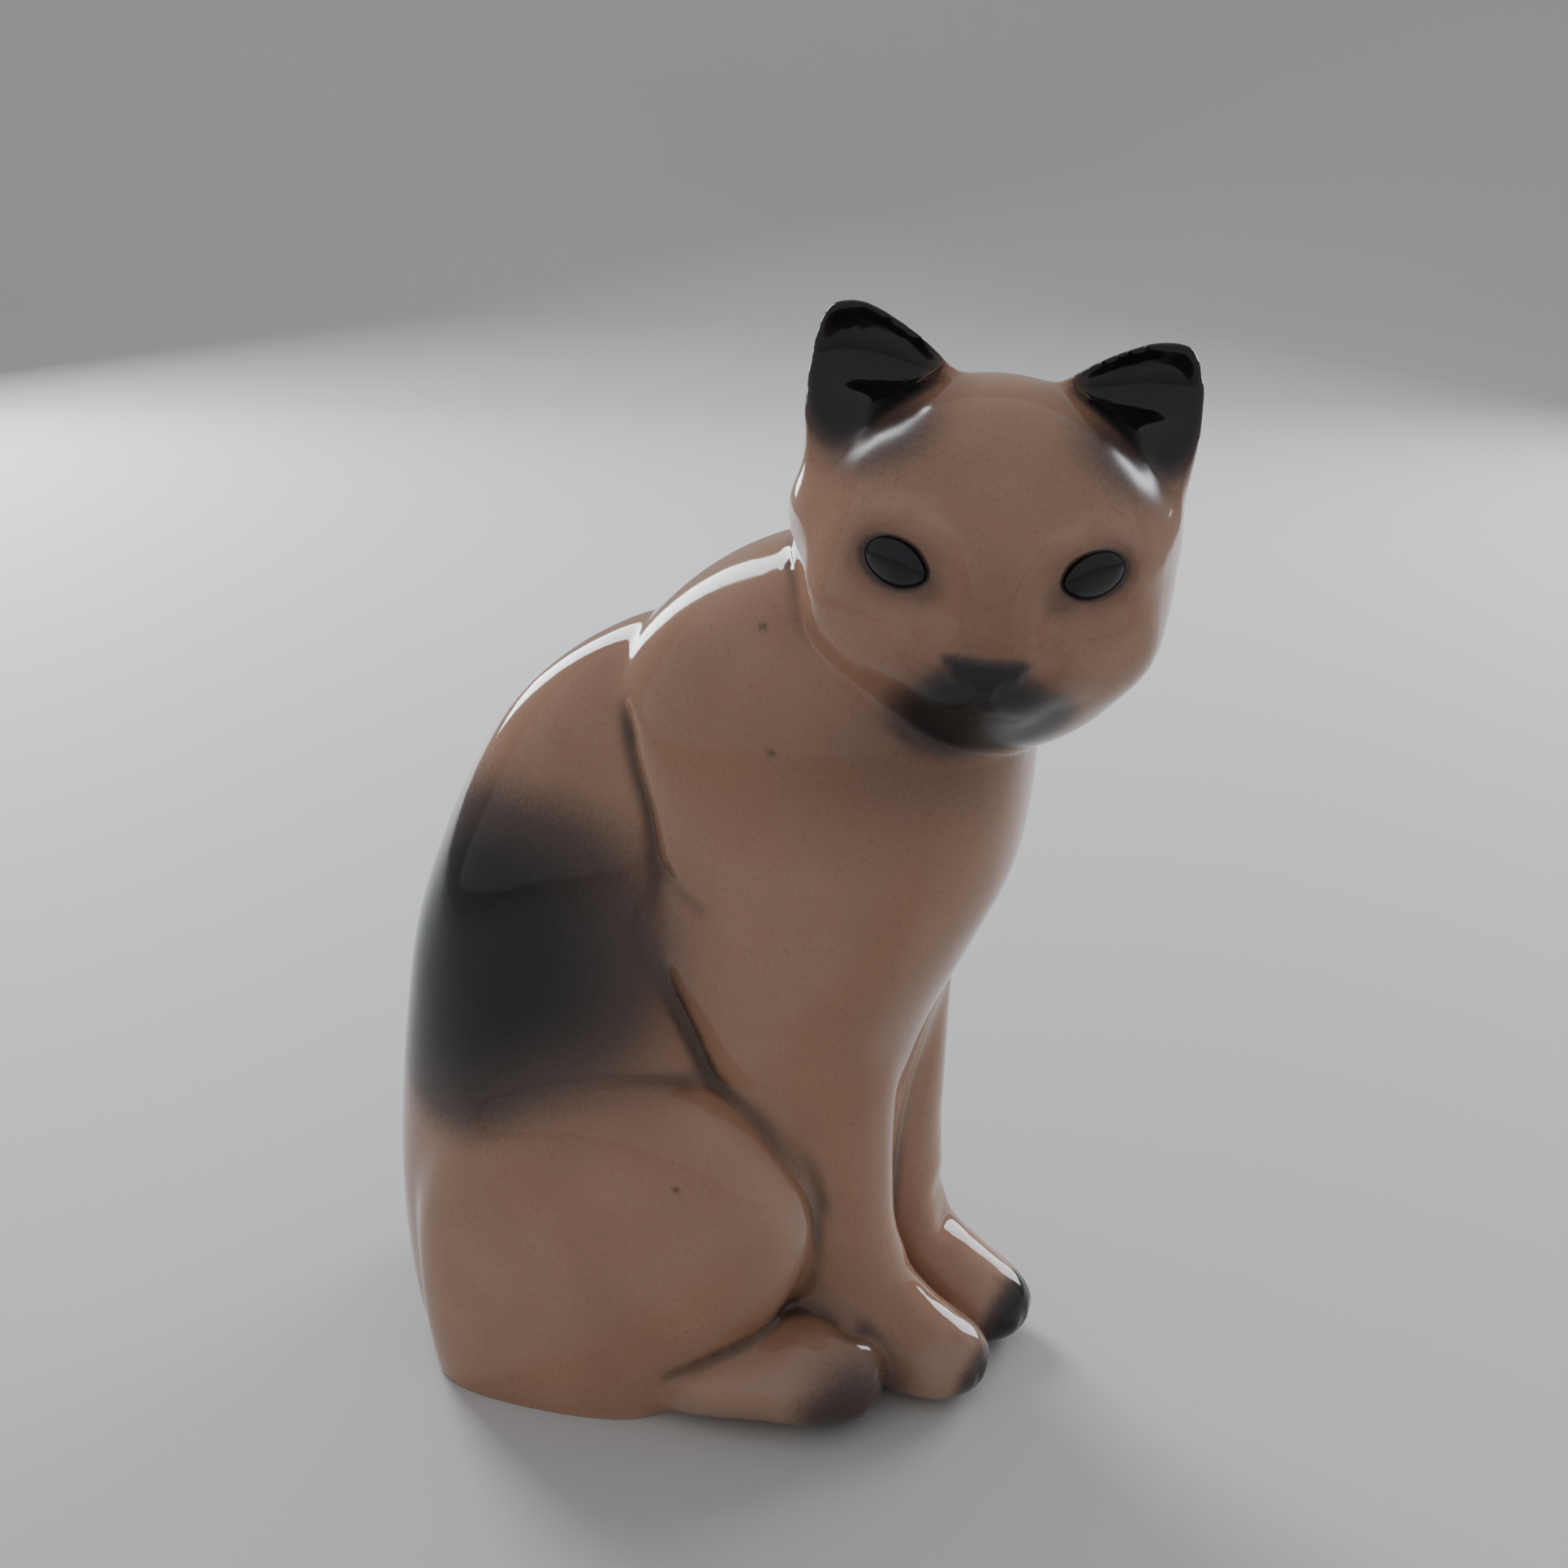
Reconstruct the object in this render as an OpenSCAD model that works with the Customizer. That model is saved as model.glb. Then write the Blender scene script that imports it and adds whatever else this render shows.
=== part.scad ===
// Seated cat figurine in glazed, slip-cast ceramic.
// The cat faces -Y with its head turned over its right shoulder, towards -X.
// Origin: middle of the flat underside. +Z is up, and sizes are in millimetres.

/* [Body] */
// Height of the nape above the table
body_height = 162; // [146:1:178]
// Length from the rump to the front of the chest
body_length = 126; // [114:1:138]
// Width over the thighs
body_width = 76; // [68:1:84]
// Thickness of the cast wall
wall = 4.5; // [3.5:0.5:5.5]
// Width of the air hole in the base and of the one in the neck
vent_d = 3.5; // [2.5:0.5:3.5]

/* [Head] */
// Width of the head
head_d = 63; // [58:1:68]
// Turn of the head to the cat's right, in degrees
head_turn = 77; // [60:1:90]
// Tilt of the head towards its own left, in degrees
head_tilt = 5; // [0:1:10]
// Nod of the head, in degrees
head_nod = 0; // [-5:1:8]
// Width of an eye
eye_w = 11.5; // [10:0.5:12.5]
// Height of an eye
eye_h = 9; // [8:0.5:10]

/* [Tail] */
// Thickness of the tail
tail_d = 15; // [12:0.5:17]

/* [Hidden] */
// The station tables below are drawn at these sizes, and size() stretches them.
drawn = [76, 126, 162];
drawn_head_d = 63;
size = [body_width / drawn[0], body_length / drawn[1], body_height / drawn[2]];
head_size = head_d / drawn_head_d;
head_r = head_d / 2;
head_at = [-5 * size[0], -51 * size[1], 160 * size[2]];
far = 200;          // reach of a cutting block
glaze_tan = [0.72, 0.55, 0.44];
glaze_dark = [0.13, 0.10, 0.10];
glaze_black = [0.03, 0.03, 0.04];

// Horizontal rings of the two main forms: [height, front, widest, back, half width].
rump_rings = [
  [0, -20, 20, 52, 28], [1.2, -21, 21, 55.5, 31], [4, -22, 22, 58.5, 33], [12, -22, 23, 60, 34],
  [30, -21, 24, 61, 34.5], [50, -20, 24, 60, 34], [70, -19, 25, 57.4, 33], [88, -18, 25, 54.2, 31.2],
  [104, -17, 16, 48.8, 30], [118, -15, 9, 42.4, 26], [130, -14, 4, 34.4, 21], [139, -13, -1, 24, 15.5],
  [145, -12, -2, 13, 9], [147.5, -8, -2, 5, 4]];
bust_rings = [
  [0, -30, -20, -6, 15], [3, -31, -20, -4, 17], [16, -33, -18, 0, 19.5], [32, -35.5, -17, 4, 21],
  [48, -37, -18, 8, 22.5], [62, -39.5, -19, 10, 24], [76, -44, -20, 14, 26.8], [90, -50.5, -21, 17, 30], [104, -57, -23, 18, 30.5], [118, -59.5, -24, 19, 31.5],
  [130, -60, -25, 17, 30.5], [142, -58, -26, 12, 28], [152, -55, -28, 3, 24], [159, -50, -30, -7, 18],
  [163, -44, -31, -18, 10], [164, -38, -31, -25, 4]];
// Outline of the thigh seen from the side, [front to back, height], and how it swells outwards.
thigh_outline = [
  [-27.5, 41], [-23.5, 53], [-12.5, 64.5], [3, 69.5], [22, 69], [39, 60], [48, 42], [50, 24], [48, 2],
  [41, -16], [23, -24], [6, -13], [-7, 6], [-17.5, 17], [-25, 29]];
thigh_swell = [
  [-6, 1], [-24, 1], [-29, 0.975], [-32.5, 0.91], [-35.5, 0.78], [-37.3, 0.58], [-38, 0.34], [-38.2, 0.08]];
// Centres along a limb and its two half sizes: [x, y, z, half across the bend, half side to side].
foreleg_path = [
  [-13, -22, 92, 16, 12], [-12.5, -25, 78, 15, 11.5], [-11.5, -27, 62, 12.5, 10.5], [-11, -28, 46, 11, 9.6],
  [-10.8, -29.5, 32, 10.4, 9.2], [-10.6, -33.5, 20.5, 10.8, 9.4], [-10.5, -40, 12, 10.8, 9.8],
  [-10.3, -47.5, 8.6, 9, 9.8], [-10, -53, 7.4, 7.2, 8.2], [-10, -56.5, 6.6, 4.6, 5.2], [-10, -58, 6.2, 1.6, 2]];
hind_foot_path = [
  [-23, 16, 1, 4, 3], [-24.5, 4, 5, 7, 8.5], [-25, -8, 8.5, 9, 12], [-24, -19, 10.5, 10, 13.2],
  [-23.5, -28, 10.5, 10.2, 12.6], [-23, -35, 9, 8.6, 10], [-22.5, -39, 7.6, 5.4, 6.6], [-22.3, -40.6, 7, 1.8, 2.4]];
tail_path = [
  [-6, 50, 12, 6, 6], [6, 56, 10, 7.4, 7.4], [19, 55, 8, 7.5, 7.5], [30, 46, 7, 7.5, 7.5], [37, 32, 7, 7.5, 7.5],
  [40, 16, 7, 7.5, 7.5], [39.5, 0, 7, 7.4, 7.4], [37.5, -14, 6.8, 7.2, 7.2], [35, -25, 6.5, 6.6, 6.6],
  [33, -31, 6, 4.8, 4.8], [32.4, -33, 5.6, 2, 2]];
// Rings up an ear, in the head's own frame: [x, y, z, half across, half front to back].
ear_rings = [
  [20.5, 1, 14, 10, 9], [21.4, 1, 22, 10.2, 8.2], [21.6, 1.5, 29, 10.2, 6.8], [22.6, 2, 33.5, 9, 5.3],
  [24, 2, 37, 6.7, 3.9], [25.7, 2, 39.6, 3.8, 2.5], [26.8, 2, 41, 1.2, 1]];
ear_hollow_rings = [
  [21.8, -8, 19.5, 2, 2], [22.2, -6.5, 22, 5.2, 4.5], [22.6, -4.6, 27, 7.8, 5.2], [23.2, -3.3, 32, 7.2, 4.4],
  [24.4, -2.2, 36, 4.8, 3.2], [25.6, -1.6, 38.3, 2, 1.6], [26, -1.4, 39, 0.5, 0.5]];
// Pulls on the ball of the head, in its own frame facing -Y: [centre, reach, move].
face_pulls = [
  [[0, -30, -14], [17, 20, 12], [0, -4.2, 0]],          // muzzle
  [[0, -32, -12], [7, 12, 7], [0, -1.6, 0]],            // nose
  [[0, -24, -25], [14, 16, 9], [0, -2.5, 1]],           // chin
  [[15, -27, 4], [11, 12, 9.5], [0, 2.2, 0]],           // left eye socket
  [[-15, -27, 4], [11, 12, 9.5], [0, 2.2, 0]],          // right eye socket
  [[0, -30, 4], [6, 14, 16], [0, -1.4, 0]],             // bridge of the nose
  [[28, 2, 12], [13, 18, 13], [2.2, 0, 0]],             // left temple
  [[-28, 2, 12], [13, 18, 13], [-2.2, 0, 0]],           // right temple
  [[24, -16, -9], [13, 14, 12], [1.6, -1, 0]],          // left cheek
  [[-24, -16, -9], [13, 14, 12], [-1.6, -1, 0]]];       // right cheek
// Centre of an eye in the head's own frame, and its lean.
eye_at = [15.9, -24.6, 4.3];
eye_lean = 16;
// Side view of the block that each foreleg is parted off with: [y, z].
foreleg_parting = [[-20, -5], [-20, 50], [-26, 62], [-90, 62], [-90, -5]];

// Smooth curve through the rows of p, at u from 0 to len(p) - 1.
function curve(p, u) =
  let (last = len(p) - 1, i = min(floor(u), last - 1), t = u - i,
       a = p[max(i - 1, 0)], b = p[i], c = p[i + 1], d = p[min(i + 2, last)])
  0.5 * (2 * b + (c - a) * t + (2 * a - 5 * b + 4 * c - d) * t * t + (3 * b - a - 3 * c + d) * t * t * t);
function closed_curve(p, u) = curve([p[len(p) - 1], each p, p[0], p[1]], u + 1);
function unit(v) = v / norm(v);
function squared(c) = sign(c) * pow(abs(c), 0.86);
function xyz(row) = [row[0], row[1], row[2]];
function stretched(p) = [p[0] * size[0], p[1] * size[1], p[2] * size[2]];

// One horizontal ring of a body form, drawn in by inset.
function body_ring(row, sides, inset) = [
  for (k = [0:sides - 1])
    let (turn = 360 * k / sides, y = squared(sin(turn)),
         reach = y < 0 ? row[2] - row[1] : row[3] - row[2])
    stretched([squared(cos(turn)) * (row[4] - inset), row[2] + y * (reach - inset), row[0]])];

// One ring round a limb, square to its path. ref is the direction that the second half size lies along.
function limb_ring(path, u, sides, ref) =
  let (row = curve(path, u), last = len(path) - 1,
       along = unit(xyz(curve(path, min(u + 0.05, last))) - xyz(curve(path, max(u - 0.05, 0)))),
       side = unit(cross(along, ref)), up = cross(along, side))
  [for (k = [0:sides - 1])
    xyz(row) + row[3] * cos(360 * k / sides) * side + row[4] * sin(360 * k / sides) * up];

// Skins a grid of rings, one list of points after another, and closes both ends.
module skin(rings) {
  sides = len(rings[0]);
  rows = len(rings);
  polyhedron(
    points = [for (r = rings) each r],
    faces = [
      [for (k = [0:sides - 1]) k],
      [for (k = [sides - 1:-1:0]) (rows - 1) * sides + k],
      for (j = [0:rows - 2], k = [0:sides - 1])
        let (n = (k + 1) % sides) [j * sides + k, (j + 1) * sides + k, (j + 1) * sides + n, j * sides + n]],
    convexity = 6);
}

module body_form(rings, rows, sides, inset = 0)
  skin([for (j = [0:rows]) body_ring(curve(rings, j * (len(rings) - 1) / rows), sides, inset)]);

module limb(path, rows, sides, ref = [1, 0, 0])
  skin([for (j = [0:rows]) [for (p = limb_ring(path, j * (len(path) - 1) / rows, sides, ref)) stretched(p)]]);

// The thigh bulges from inside the rump outwards to -X.
module thigh() {
  count = len(thigh_outline);
  steps = 3;
  middle = [12, 34];
  skin([for (s = thigh_swell) [for (k = [0:count * steps - 1])
    let (p = middle + s[1] * (closed_curve(thigh_outline, k / steps) - middle)) stretched([s[0], p[0], p[1]])]]);
}

module above_table() intersection() {
  union() children();
  translate([-far, -far, 0]) cube(2 * far);
}

// The solid forms that the body is modelled from. side is 1 for the cat's left and -1 for its right.
module rump_form() body_form(rump_rings, 26, 40);
module bust_form() body_form(bust_rings, 26, 40);
module thigh_form(side) scale([-side, 1, 1]) thigh();
module foreleg_form(side) translate([0, side < 0 ? 0 : -4 * size[1], 0]) scale([-side, 1, 1])
  limb(foreleg_path, 20, 16);
module hind_foot_form(side) scale([-side, 1, 1]) limb(hind_foot_path, 14, 16);

module cavity() {
  difference() {
    union() {
      body_form([for (r = rump_rings) if (r[0] > 3 && r[0] < 140) r[0] < 5 ? [wall, each [for (i = [1:4]) r[i]]] : r],
                10, 24, wall);
      body_form([for (r = bust_rings) if (r[0] > 60 && r[0] < 155) r], 8, 24, wall);
    }
    at_head() sphere(head_r + wall, $fn = 32);
  }
}

module foreleg_block(side) rotate([90, 0, 90])
  translate([0, 0, side < 0 ? -far : 0]) linear_extrude(far)
    polygon([for (p = foreleg_parting) [p[0] * size[1], p[1] * size[2]]]);

module air_hole(at, length) translate(at) cylinder(d = vent_d, h = length, $fn = 24);

// Lets the air of the head out into the body while the figure is fired.
module neck_hole() air_hole(head_at + [0, 8, -head_r - 20], head_r + 10);

// Places something drawn in the head's own frame.
module at_head() translate(head_at) rotate([head_nod, head_tilt, -head_turn]) scale(head_size) children();

// Moves a point of the head by every pull that reaches it.
function pulled(p, pulls, i = 0) =
  i == len(pulls) ? p :
  let (d = p - pulls[i][0], r = pulls[i][1], q = norm([d[0] / r[0], d[1] / r[1], d[2] / r[2]]),
       share = q >= 1 ? 0 : pow(1 - q * q, 2))
  pulled(p + share * pulls[i][2], pulls, i + 1);

module head_form() {
  rows = 28;
  sides = 44;
  skin([for (j = [1:rows - 1]) [for (k = [0:sides - 1])
    let (up = -90 + 180 * j / rows, turn = 360 * k / sides)
    pulled(drawn_head_d / 2 * [cos(up) * cos(turn), cos(up) * sin(turn) * 0.98, sin(up)], face_pulls)]]);
}

// side is 1 for the cat's left and -1 for its right.
module ear_form(side) scale([side, 1, 1]) difference() {
  limb_plain(ear_rings, 16, 24);
  limb_plain(ear_hollow_rings, 12, 18);
}

module limb_plain(path, rows, sides)
  skin([for (j = [0:rows])
    let (r = curve(path, j * (len(path) - 1) / rows))
    [for (k = [0:sides - 1]) [r[0] + r[3] * cos(360 * k / sides), r[1] + r[4] * sin(360 * k / sides), r[2]]]]);

module eye_form(side) translate([side * eye_at[0], eye_at[1], eye_at[2]])
  rotate([0, side * -eye_lean, side * 32]) scale([eye_w / 2, 2.2, eye_h / 2]) sphere(1, $fn = 24);

module body_casting() color(glaze_tan) difference() {
  above_table() {
    rump_form();
    for (side = [-1, 1]) thigh_form(side);
    difference() {
      union() {
        bust_form();
        for (side = [-1, 1]) foreleg_form(side);
      }
      for (side = [-1, 1]) foreleg_block(side);
    }
  }
  cavity();
  at_head() head_form();
  air_hole([0, 20, -1], 2 * wall);
  neck_hole();
}

module head_casting() color(glaze_tan) difference() {
  at_head() head_form();
  at_head() sphere(drawn_head_d / 2 - wall / head_size - 1, $fn = 32);
  for (side = [-1, 1]) at_head() eye_form(side);
  neck_hole();
}

module ear(side) color(glaze_dark) difference() {
  at_head() ear_form(side);
  at_head() head_form();
}

module eye(side) color(glaze_black) at_head() eye_form(side);

module foreleg(side) color(glaze_tan) difference() {
  intersection() {
    above_table() {
      bust_form();
      foreleg_form(side);
    }
    foreleg_block(side);
  }
  rump_form();
  thigh_form(side);
}

module hind_foot(side) color(glaze_tan) difference() {
  above_table() hind_foot_form(side);
  rump_form();
  bust_form();
  thigh_form(side);
  foreleg_form(side);
}

module tail() color(glaze_dark) difference() {
  above_table() limb(tail_path, 20, 14, [0, 0, 1]);
  rump_form();
  thigh_form(1);
  hind_foot_form(1);
}

body_casting();
head_casting();
ear(1);  // left_ear
ear(-1);  // right_ear
eye(1);  // left_eye
eye(-1);  // right_eye
foreleg(1);  // left_foreleg
foreleg(-1);  // right_foreleg
hind_foot(1);  // left_hind_foot
hind_foot(-1);  // right_hind_foot
tail();
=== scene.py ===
import math
import bmesh
import bpy
import numpy as np
from mathutils import Matrix, Vector
from mathutils.bvhtree import BVHTree


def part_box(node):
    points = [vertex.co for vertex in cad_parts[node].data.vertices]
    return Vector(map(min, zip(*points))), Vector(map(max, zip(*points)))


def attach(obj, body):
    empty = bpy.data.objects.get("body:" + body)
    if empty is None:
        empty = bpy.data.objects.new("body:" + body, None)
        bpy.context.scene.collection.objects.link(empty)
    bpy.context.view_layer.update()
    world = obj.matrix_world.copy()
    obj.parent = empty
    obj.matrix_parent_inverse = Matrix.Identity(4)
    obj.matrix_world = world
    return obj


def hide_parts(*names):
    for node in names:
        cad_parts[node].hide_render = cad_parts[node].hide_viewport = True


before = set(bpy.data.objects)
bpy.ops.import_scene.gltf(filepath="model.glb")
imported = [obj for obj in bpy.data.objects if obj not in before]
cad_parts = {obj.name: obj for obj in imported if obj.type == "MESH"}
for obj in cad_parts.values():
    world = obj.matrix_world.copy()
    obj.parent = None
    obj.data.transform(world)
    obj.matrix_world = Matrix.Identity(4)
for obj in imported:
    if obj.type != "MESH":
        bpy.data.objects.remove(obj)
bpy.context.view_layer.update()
mm = 0.001


# ------------------------------------------------------------------ rump
# The rump, belly and back: an egg-shaped form of clay that leans forward at the top.
# It is half of the hollow body casting, and the flank's dark stain is sprayed on it.
RUMP = [  # height, front, widest place, back, half width, in mm
    (0, -20, 20, 52, 28), (1.2, -21, 21, 55.5, 31), (4, -22, 22, 58.5, 33), (12, -22, 23, 60, 34),
    (30, -21, 24, 61, 34.5), (50, -20, 24, 60, 34), (70, -19, 25, 57.4, 33), (88, -18, 25, 54.2, 31.2),
    (104, -17, 16, 48.8, 30), (118, -15, 9, 42.4, 26), (130, -14, 4, 34.4, 21), (139, -13, -1, 24, 15.5),
    (145, -12, -2, 13, 9), (147.5, -8, -2, 5, 4)]

clay = bmesh.new()


def along(rows, u):
    """A smooth way through rows of numbers: u is 0 at the first row and 1 at the last."""
    rows = np.asarray(rows, float)
    last = len(rows) - 1
    s = min(max(u, 0.0), 1.0) * last
    i = min(int(s), last - 1)
    t = s - i
    a, b, c, d = rows[max(i - 1, 0)], rows[i], rows[i + 1], rows[min(i + 2, last)]
    return 0.5 * (2 * b + (c - a) * t + (2 * a - 5 * b + 4 * c - d) * t ** 2 + (3 * b - a - 3 * c + d) * t ** 3)


def draw_up(place, rings, turns):
    """Draws clay up ring by ring from a disc. place(u, turn) is a point in mm on the ring at u."""
    mark = clay.verts.layers.int.get("turn") or clay.verts.layers.int.new("turn")
    disc = bmesh.ops.create_circle(clay, cap_ends=True, segments=turns, radius=mm)["verts"]
    for k, v in enumerate(disc):
        v[mark] = k
    form = set(f for v in disc for f in v.link_faces)
    edges = list({e for v in disc for e in v.link_edges})
    ring = disc
    for j in range(rings + 1):
        if j:
            grown = bmesh.ops.extrude_edge_only(clay, edges=edges)["geom"]
            ring = [g for g in grown if isinstance(g, bmesh.types.BMVert)]
            form.update(g for g in grown if isinstance(g, bmesh.types.BMFace))
            fresh = set(ring)
            edges = [g for g in grown if isinstance(g, bmesh.types.BMEdge) and set(g.verts) <= fresh]
        for v in ring:
            v.co = Vector(place(j / rings, 2 * math.pi * v[mark] / turns)) * mm
    form.update(bmesh.ops.holes_fill(clay, edges=edges, sides=0)["faces"])
    bmesh.ops.recalc_face_normals(clay, faces=list(form))


def egg_ring(rows):
    """Rings for a form that stands up: each is an egg, with its own front, back and width."""
    def place(u, turn):
        z, front, widest, back, half = along(rows, u)
        c, s = (math.copysign(abs(q) ** 0.86, q) for q in (math.cos(turn), math.sin(turn)))
        return c * half, widest + s * (widest - front if s < 0 else back - widest), z
    return place


draw_up(egg_ring(RUMP), 52, 72)


# ------------------------------------------------------------------ bust
# The neck, shoulders and chest: the front half of the body casting. It runs down between the
# forelegs to the table, and meets the rump along a crease down each flank.
BUST = [
    (0, -30, -20, -6, 15), (3, -31, -20, -4, 17), (16, -33, -18, 0, 19.5), (32, -35.5, -17, 4, 21),
    (48, -37, -18, 8, 22.5), (62, -39.5, -19, 10, 24), (76, -44, -20, 14, 26.8), (90, -50.5, -21, 17, 30),
    (104, -57, -23, 18, 30.5), (118, -59.5, -24, 19, 31.5), (130, -60, -25, 17, 30.5), (142, -58, -26, 12, 28),
    (152, -55, -28, 3, 24), (159, -50, -30, -7, 18), (163, -44, -31, -18, 10), (164, -38, -31, -25, 4)]
draw_up(egg_ring(BUST), 52, 72)


# ------------------------------------------------------------------ thighs
# Two oval swellings laid on the rump. Each has a soft crease over its top, a round knee in front
# and no edge at all behind, where it runs into the rump.
THIGH_OUTLINE = [
    (-27.5, 41), (-23.5, 53), (-12.5, 64.5), (3, 69.5), (22, 69), (39, 60), (48, 42), (50, 24), (48, 2),
    (41, -16), (23, -24), (6, -13), (-7, 6), (-17.5, 17), (-25, 29)]
THIGH_SWELL = [  # distance out from the middle of the body, and how much of the outline is left there
    (-6, 1), (-24, 1), (-29, 0.975), (-32.5, 0.91), (-35.5, 0.78), (-37.3, 0.58), (-38, 0.34), (-38.2, 0.08)]
THIGH_MIDDLE = np.array((12.0, 34.0))


def thigh_ring(side):
    """Rings for a thigh: the same outline, further out and smaller each time."""
    count = len(THIGH_OUTLINE)
    loop = [THIGH_OUTLINE[-1]] + THIGH_OUTLINE + THIGH_OUTLINE[:2]

    def place(u, turn):
        out, left = along(THIGH_SWELL, u)
        y, z = THIGH_MIDDLE + left * (along(loop, (1 + turn / (2 * math.pi) * count) / (count + 2)) - THIGH_MIDDLE)
        return -side * out, y, z
    return place


for side in (-1, 1):
    draw_up(thigh_ring(side), 28, 60)


# ------------------------------------------------------------------ legs and feet
# Rolls of clay: two straight forelegs with forward paws, the left one set further forward, and
# two hind feet that come out from under the thighs. A lump of clay fills the gap that is left
# between each knee, hind foot and foreleg.
FORELEG = [  # centre x, y, z, then the half sizes front to back and side to side
    (-13, -22, 92, 16, 12), (-12.5, -25, 78, 15, 11.5), (-11.5, -27, 62, 12.5, 10.5), (-11, -28, 46, 11, 9.6),
    (-10.8, -29.5, 32, 10.4, 9.2), (-10.6, -33.5, 20.5, 10.8, 9.4), (-10.5, -40, 12, 10.8, 9.8),
    (-10.3, -47.5, 8.6, 9, 9.8), (-10, -53, 7.4, 7.2, 8.2), (-10, -56.5, 6.6, 4.6, 5.2), (-10, -58, 6.2, 1.6, 2)]
HIND_FOOT = [
    (-23, 16, 1, 4, 3), (-24.5, 4, 5, 7, 8.5), (-25, -8, 8.5, 9, 12), (-24, -19, 10.5, 10, 13.2),
    (-23.5, -28, 10.5, 10.2, 12.6), (-23, -35, 9, 8.6, 10), (-22.5, -39, 7.6, 5.4, 6.6), (-22.3, -40.6, 7, 1.8, 2.4)]
LEFT_PAW_FORWARD = 4.5
KNEE_LUMP_AT, KNEE_LUMP_HALF = (13, -25, 26), (7.6, 13, 21)


def roll_ring(path, side, forward=0.0, across=(1, 0, 0)):
    """Rings for a roll of clay along a path, each square to the path."""
    def place(u, turn):
        row = along(path, u)
        way = Vector(along(path, u + 0.01)[:3] - along(path, u - 0.01)[:3]).normalized()
        a = way.cross(Vector(across)).normalized()
        b = way.cross(a)
        p = Vector(row[:3]) + a * row[3] * math.cos(turn) + b * row[4] * math.sin(turn)
        return -side * p.x, p.y - forward, p.z
    return place


for side in (-1, 1):
    draw_up(roll_ring(FORELEG, side, LEFT_PAW_FORWARD if side > 0 else 0.0), 44, 40)
    draw_up(roll_ring(HIND_FOOT, side), 32, 40)

for side in (-1, 1):
    for v in bmesh.ops.create_icosphere(clay, subdivisions=4, radius=1)["verts"]:
        x, y, z = (KNEE_LUMP_AT[k] + KNEE_LUMP_HALF[k] * v.co[k] for k in range(3))
        v.co = Vector((side * x, y, z)) * mm


# ------------------------------------------------------------------ roll for the tail
# A plain roll that leaves the rump low down behind, and is pressed along the ground round the
# left side of the figure.
TAIL = [
    (-6, 50, 12, 6, 6), (6, 56, 10, 7.4, 7.4), (19, 55, 8, 7.5, 7.5), (30, 46, 7, 7.5, 7.5), (37, 32, 7, 7.5, 7.5),
    (40, 16, 7, 7.5, 7.5), (39.5, 0, 7, 7.4, 7.4), (37.5, -14, 6.8, 7.2, 7.2), (35, -25, 6.5, 6.6, 6.6),
    (33, -31, 6, 4.8, 4.8), (32.4, -33, 5.6, 2, 2)]
draw_up(roll_ring(TAIL, -1, across=(0, 0, 1)), 64, 32)


# ------------------------------------------------------------------ head and ears
# A ball of clay, pressed in at the sockets and drawn out at the muzzle, with two thin ears that
# are cupped in front. It is turned over the right shoulder.
HEAD_R = 31.5
HEAD_AT = Vector((-5, -51, 160))
HEAD = (Matrix.Translation(HEAD_AT * mm) @ Matrix.Rotation(math.radians(-77), 4, "Z")
        @ Matrix.Rotation(math.radians(5), 4, "Y"))
HEAD_PULLS = [  # centre, reach and move, in the head's own frame, which faces -Y
    ((0, -30, -14), (17, 20, 12), (0, -4.2, 0)), ((0, -32, -12), (7, 12, 7), (0, -1.6, 0)),
    ((0, -24, -25), (14, 16, 9), (0, -2.5, 1)), ((15, -27, 4), (11, 12, 9.5), (0, 2.8, 0)),
    ((-15, -27, 4), (11, 12, 9.5), (0, 2.8, 0)), ((0, -30, 4), (6, 14, 16), (0, -1.4, 0)),
    ((28, 2, 14), (13, 18, 13), (2.8, 0, 0)), ((-29, 3, 11), (13, 18, 14), (-3.6, 0, 0)),
    ((24, -16, -9), (13, 14, 12), (1.6, -1, 0)), ((-24, -16, -9), (13, 14, 12), (-1.6, -1, 0))]
EAR = [  # centre x, y, z, half width, depth of the back, how deep the front is hollowed, swell in front
    (19.5, 0, 10, 10.5, 8, 0, 6), (19.2, 0, 17, 12.8, 8.4, 0, 5), (18.2, 0, 22, 14, 8.2, 0, 3),
    (17.8, 0, 25.5, 14.4, 7.8, 0.1, 1), (19.2, 0, 29, 13.1, 7.4, 0.8, 0), (21.4, 0.4, 33.5, 10.6, 6.6, 1, 0),
    (23.4, 0.8, 37, 7.7, 5.4, 1, 0), (25.3, 1.2, 39.6, 4.6, 4, 0.7, 0), (26.3, 1.6, 41, 2, 2.4, 0, 0)]
EAR_WALL, EAR_RIM = 2.6, 1.3
EAR_FOOT, LEFT_EAR_LOWER = 22, 0.1


def pressed(co, at, reach, move):
    """Moves points by move at the middle of a press, easing to nothing at its reach."""
    q = (((co - np.array(at)) / np.array(reach)) ** 2).sum(1)
    return co + np.where(q < 1, (1 - np.minimum(q, 1)) ** 2, 0)[:, None] * np.array(move)


ball = bmesh.ops.create_icosphere(clay, subdivisions=6, radius=HEAD_R * mm)["verts"]
points = np.array([v.co for v in ball]) / mm
points[:, 1] *= 0.98
for pull in HEAD_PULLS:
    points = pressed(points, *pull)
for v, p in zip(ball, points):
    v.co = HEAD @ (Vector(p) * mm)


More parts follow.
